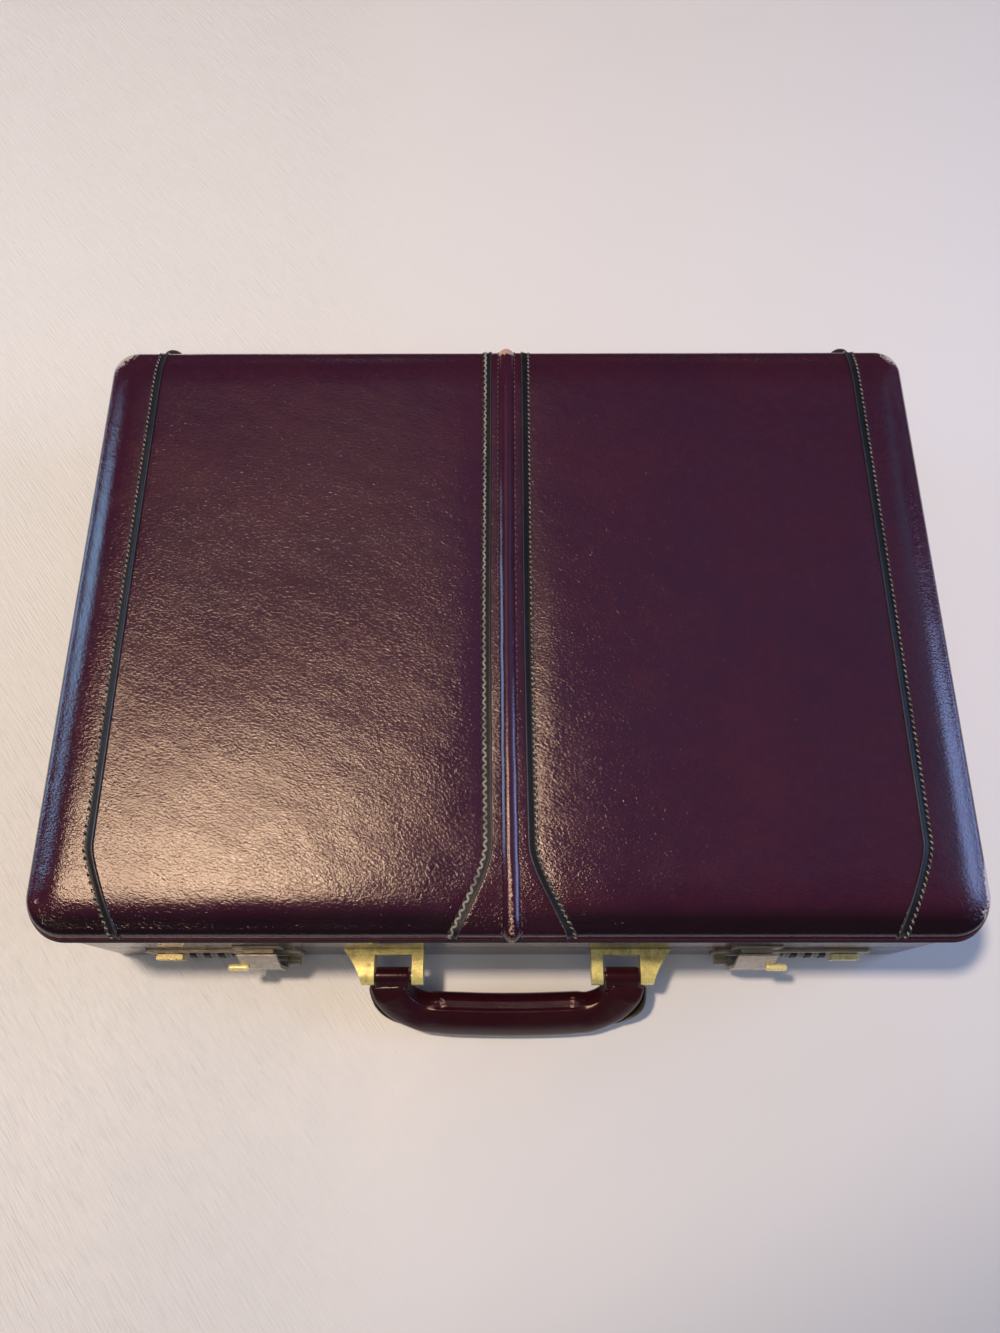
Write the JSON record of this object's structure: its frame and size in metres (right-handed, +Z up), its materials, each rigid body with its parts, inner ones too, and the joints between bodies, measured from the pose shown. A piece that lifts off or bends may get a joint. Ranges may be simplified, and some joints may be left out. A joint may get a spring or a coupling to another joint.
{
  "type": "attache case",
  "caption": "Hard leather attache case with a padded, hinged lid on folding stays, combination locks with hasps, and a drop handle on brass brackets.",
  "frame": {"origin": "centre of the bottom face that the closed case rests on", "axes": "+X to the right seen from the locks, +Y towards the hinges, +Z up; the handle and the locks are on the -Y side"},
  "size_m": [0.4584, 0.3858, 0.1024],
  "materials": {
    "leather": "glossy fine-grained burgundy hide",
    "black_leather": "smooth black hide",
    "board": "fibreboard",
    "foam": "soft padding sheet",
    "suede": "brushed lining",
    "brass": "polished, lightly worn",
    "steel": "plated steel",
    "dial": "dark moulded dial with pale digits",
    "rubber": "hard dark stud"
  },
  "bodies": {
    "base": {"base_board": "board", "base_cover": "leather", "base_frame": "brass", "base_lining": "suede", "hinge_leaves_base": "brass", "hinge_pins": "steel", "hinge_screws_base": "brass", "feet_base": "rubber", "stay_plates_base": "steel", "lock_plate_left": "brass", "lock_plate_right": "brass", "lock_case_left": "steel", "lock_case_right": "steel", "dial_axles": "steel", "button_spring_left": "steel", "button_spring_right": "steel", "hasp_pins": "steel", "bracket_left": "brass", "bracket_right": "brass", "bracket_screws": "steel", "handle_pins": "steel"},
    "lid": {"lid_board": "board", "lid_padding": "foam", "lid_cover": "leather", "lid_frame": "brass", "lid_lining": "suede", "lid_welt": "leather", "centre_panel": "leather", "centre_bead": "leather", "strip_side_left": "black_leather", "strip_side_right": "black_leather", "strip_centre_left": "black_leather", "strip_centre_right": "black_leather", "organiser_panel": "leather", "organiser_gussets": "suede", "card_pockets": "leather", "pen_loops": "black_leather", "hinge_leaves_lid": "brass", "hinge_screws_lid": "brass", "feet_lid": "rubber", "stay_plates_lid": "steel", "strike_left": "brass", "strike_right": "brass"},
    "handle": {"handle_core": "steel", "handle_loops": "leather", "handle_grip": "leather"},
    "stay_lower_left": {"stay_lower_left": "steel"},
    "stay_upper_left": {"stay_upper_left": "steel"},
    "hasp_left": {"hasp_left": "brass"},
    "button_left": {"button_left": "brass"},
    "dial_left_1": {"dial_left_1": "dial"},
    "dial_left_2": {"dial_left_2": "dial"},
    "dial_left_3": {"dial_left_3": "dial"},
    "stay_lower_right": {"stay_lower_right": "steel"},
    "stay_upper_right": {"stay_upper_right": "steel"},
    "hasp_right": {"hasp_right": "brass"},
    "button_right": {"button_right": "brass"},
    "dial_right_1": {"dial_right_1": "dial"},
    "dial_right_2": {"dial_right_2": "dial"},
    "dial_right_3": {"dial_right_3": "dial"}
  },
  "joints": [
    {"name": "lid_hinge", "type": "hinge", "parent": "base", "child": "lid", "pos_m": [0, 0.1692, 0.04025], "axis": [-1, 0, 0], "range_deg": [0, 95]},
    {"name": "stay_lower_left_turn", "type": "hinge", "parent": "base", "child": "stay_lower_left", "pos_m": [-0.217, 0.11494, 0.03125], "axis": [-1, 0, 0], "range_deg": [0, 96]},
    {"name": "stay_upper_left_turn", "type": "hinge", "parent": "lid", "child": "stay_upper_left", "pos_m": [-0.217, 0.11494, 0.04925], "axis": [-1, 0, 0], "range_deg": [-96, 0]},
    {"name": "stay_lower_right_turn", "type": "hinge", "parent": "base", "child": "stay_lower_right", "pos_m": [0.217, 0.11494, 0.03125], "axis": [-1, 0, 0], "range_deg": [0, 96]},
    {"name": "stay_upper_right_turn", "type": "hinge", "parent": "lid", "child": "stay_upper_right", "pos_m": [0.217, 0.11494, 0.04925], "axis": [-1, 0, 0], "range_deg": [-96, 0]},
    {"name": "handle_swing", "type": "hinge", "parent": "base", "child": "handle", "pos_m": [0, -0.179, 0.03], "axis": [-1, 0, 0], "range_deg": [-48, 130]},
    {"name": "hasp_left_turn", "type": "hinge", "parent": "base", "child": "hasp_left", "pos_m": [-0.1272, -0.1703, 0.017], "axis": [1, 0, 0], "range_deg": [0, 80]},
    {"name": "button_left_slide", "type": "slide", "parent": "base", "child": "button_left", "axis": [-1, 0, 0], "range_m": [0, 0.004], "stiffness_N_per_m": 250, "springref_m": -0.001, "deforming": ["button_spring_left"]},
    {"name": "dial_left_1_turn", "type": "hinge", "parent": "base", "child": "dial_left_1", "pos_m": [-0.1495, -0.1632, 0.023], "axis": [1, 0, 0], "continuous": true},
    {"name": "dial_left_2_turn", "type": "hinge", "parent": "base", "child": "dial_left_2", "pos_m": [-0.1571, -0.1632, 0.023], "axis": [1, 0, 0], "continuous": true},
    {"name": "dial_left_3_turn", "type": "hinge", "parent": "base", "child": "dial_left_3", "pos_m": [-0.1647, -0.1632, 0.023], "axis": [1, 0, 0], "continuous": true},
    {"name": "hasp_right_turn", "type": "hinge", "parent": "base", "child": "hasp_right", "pos_m": [0.1272, -0.1703, 0.017], "axis": [1, 0, 0], "range_deg": [0, 80]},
    {"name": "button_right_slide", "type": "slide", "parent": "base", "child": "button_right", "axis": [1, 0, 0], "range_m": [0, 0.004], "stiffness_N_per_m": 250, "springref_m": -0.001, "deforming": ["button_spring_right"]},
    {"name": "dial_right_1_turn", "type": "hinge", "parent": "base", "child": "dial_right_1", "pos_m": [0.1495, -0.1632, 0.023], "axis": [1, 0, 0], "continuous": true},
    {"name": "dial_right_2_turn", "type": "hinge", "parent": "base", "child": "dial_right_2", "pos_m": [0.1571, -0.1632, 0.023], "axis": [1, 0, 0], "continuous": true},
    {"name": "dial_right_3_turn", "type": "hinge", "parent": "base", "child": "dial_right_3", "pos_m": [0.1647, -0.1632, 0.023], "axis": [1, 0, 0], "continuous": true}
  ],
  "couplings": [
    {"joint": "stay_lower_left_turn", "follows": "lid_hinge", "ratio": 1},
    {"joint": "stay_upper_left_turn", "follows": "lid_hinge", "ratio": -1},
    {"joint": "stay_lower_right_turn", "follows": "lid_hinge", "ratio": 1},
    {"joint": "stay_upper_right_turn", "follows": "lid_hinge", "ratio": -1}
  ]
}
